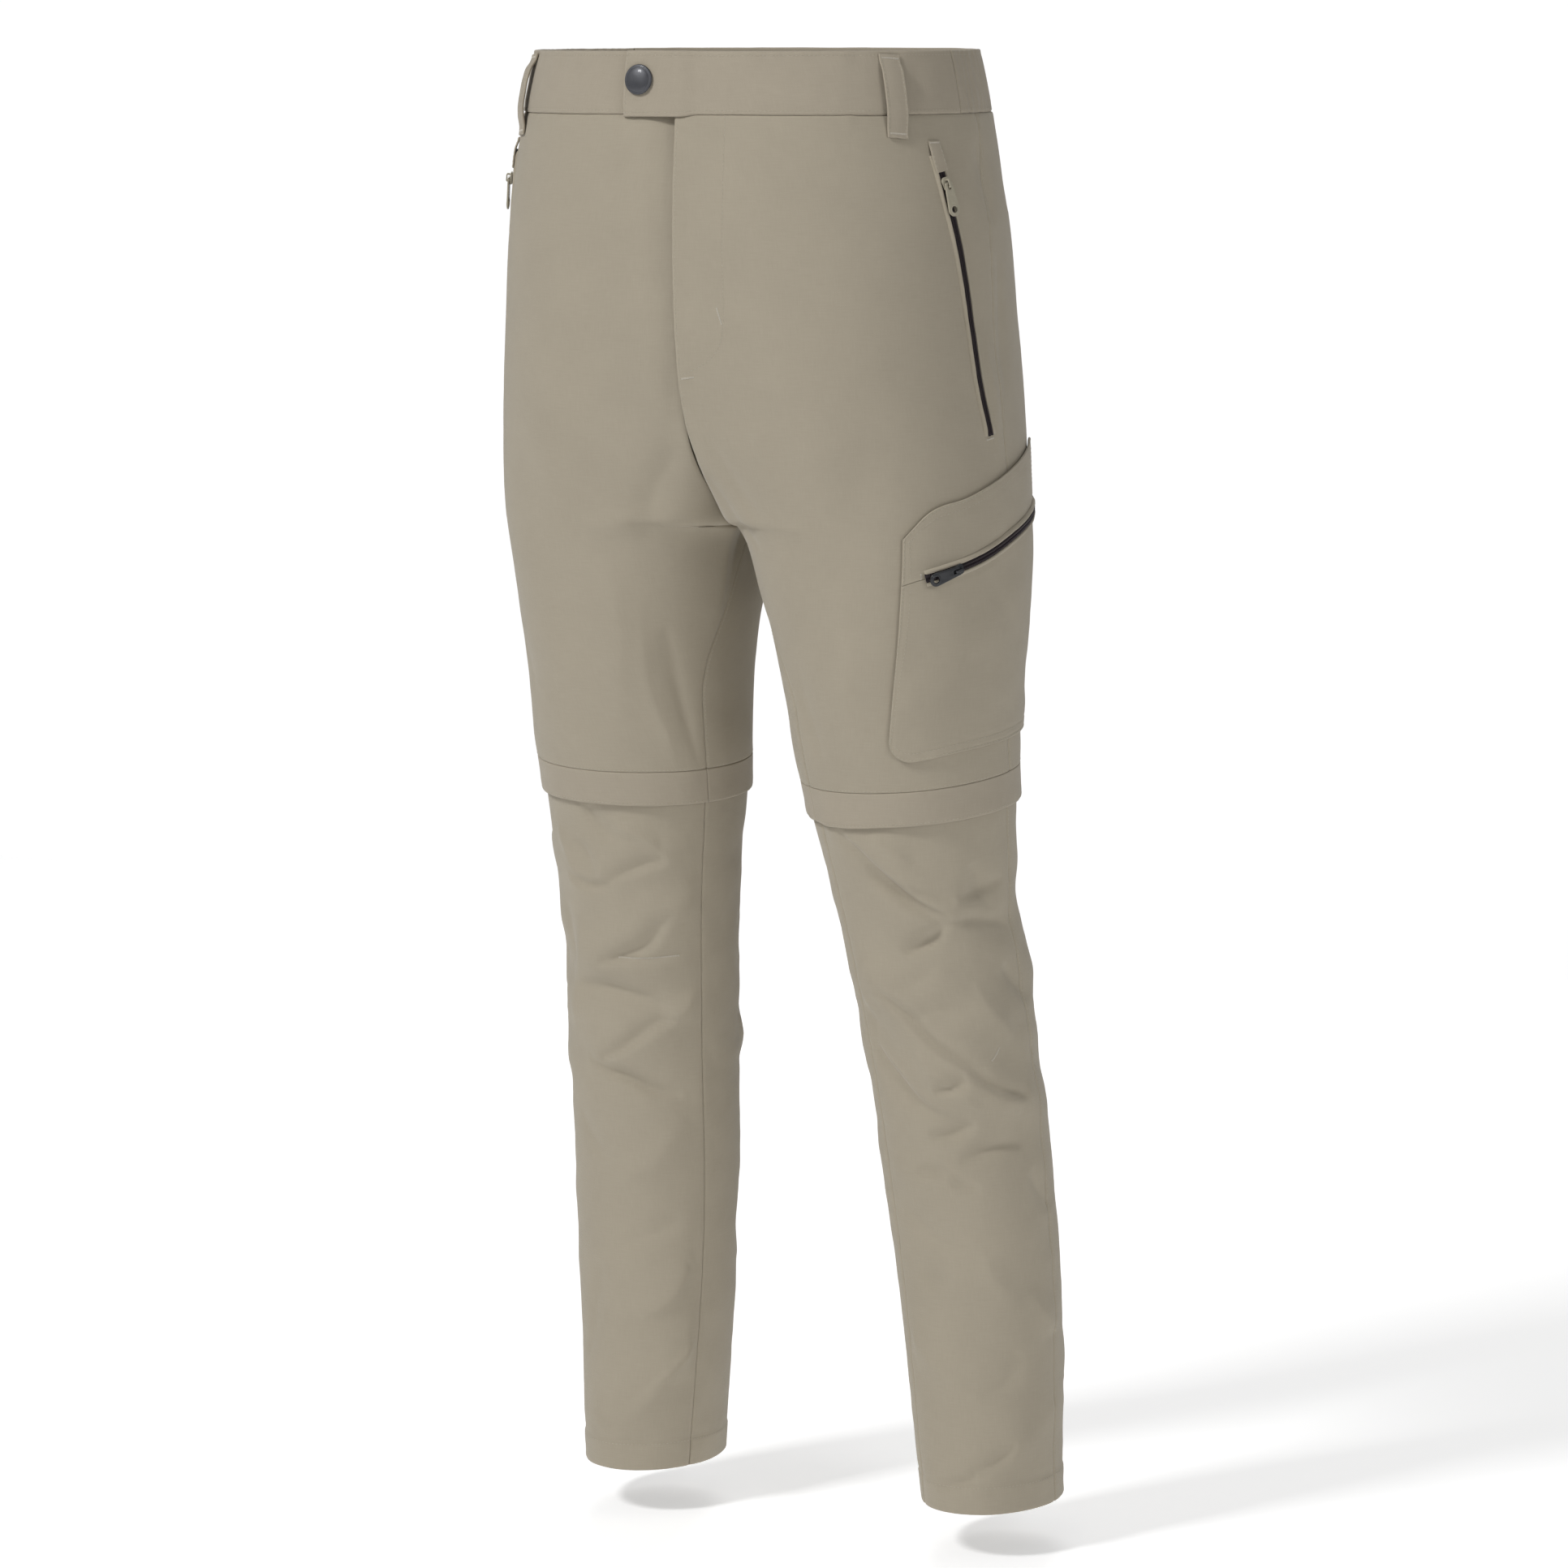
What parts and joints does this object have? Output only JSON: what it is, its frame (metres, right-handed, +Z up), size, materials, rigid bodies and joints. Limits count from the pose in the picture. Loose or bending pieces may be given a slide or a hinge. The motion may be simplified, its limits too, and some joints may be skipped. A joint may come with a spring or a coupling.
{
  "type": "zip-off walking trousers",
  "caption": "Hollow walking trousers as worn, with a buttoned waistband, belt loops, zipped hand pockets, a zipped thigh pocket and zip-off lower legs under knee covers.",
  "frame": {"origin": "middle of the waist opening at the waistband's top edge", "axes": "+Z up along the standing garment, the front faces -Y, the wearer's left leg is on +X"},
  "size_m": [0.3904, 0.2834, 1.0406],
  "materials": {
    "cloth": "matt beige plain-weave nylon",
    "band_cloth": "matt beige plain-weave nylon, doubled",
    "zip_coil": "near-black moulded coil on woven tape",
    "tan_metal": "satin tan paint",
    "black_metal": "satin black paint",
    "button_metal": "dark grey, softly glossy"
  },
  "bodies": {
    "garment": {"waistband_front_left": "band_cloth", "waistband_front_right": "band_cloth", "waistband_back": "band_cloth", "waistband_side_left": "band_cloth", "waistband_side_right": "band_cloth", "fly_shield": "cloth", "front_left": "cloth", "front_right": "cloth", "back_left": "cloth", "back_right": "cloth", "zip_cover_left": "band_cloth", "zip_cover_right": "band_cloth", "lower_front_left": "cloth", "lower_front_right": "cloth", "lower_back_left": "cloth", "lower_back_right": "cloth", "belt_loop_front_left": "band_cloth", "belt_loop_front_right": "band_cloth", "belt_loop_back_left": "band_cloth", "belt_loop_back_right": "band_cloth", "belt_loop_centre_back": "band_cloth", "hand_zip_left": "zip_coil", "hand_zip_right": "zip_coil", "hand_zip_end_left": "band_cloth", "hand_zip_end_right": "band_cloth", "hand_zip_slider_left": "tan_metal", "hand_zip_slider_right": "tan_metal", "pocket_top_left": "cloth", "pocket_bag_left": "cloth", "pocket_zip_left": "zip_coil", "pocket_zip_slider_left": "black_metal", "waist_button": "button_metal"},
    "hand_pull_left": {"hand_zip_pull_left": "tan_metal"},
    "hand_pull_right": {"hand_zip_pull_right": "tan_metal"},
    "pocket_pull_left": {"pocket_zip_pull_left": "black_metal"}
  },
  "joints": [
    {"name": "hand_pull_left_swing", "type": "hinge", "parent": "garment", "child": "hand_pull_left", "pos_m": [0.1715, -0.04766, -0.08944], "axis": [-0.3603, -0.9035, -0.232], "range_deg": [0, 160]},
    {"name": "hand_pull_right_swing", "type": "hinge", "parent": "garment", "child": "hand_pull_right", "pos_m": [-0.1715, -0.04766, -0.08944], "axis": [-0.3603, 0.9035, 0.232], "range_deg": [0, 160]},
    {"name": "pocket_pull_left_swing", "type": "hinge", "parent": "garment", "child": "pocket_pull_left", "pos_m": [0.18121, -0.05034, -0.35215], "axis": [-0.075, -0.3257, 0.9425], "range_deg": [0, 160]}
  ]
}
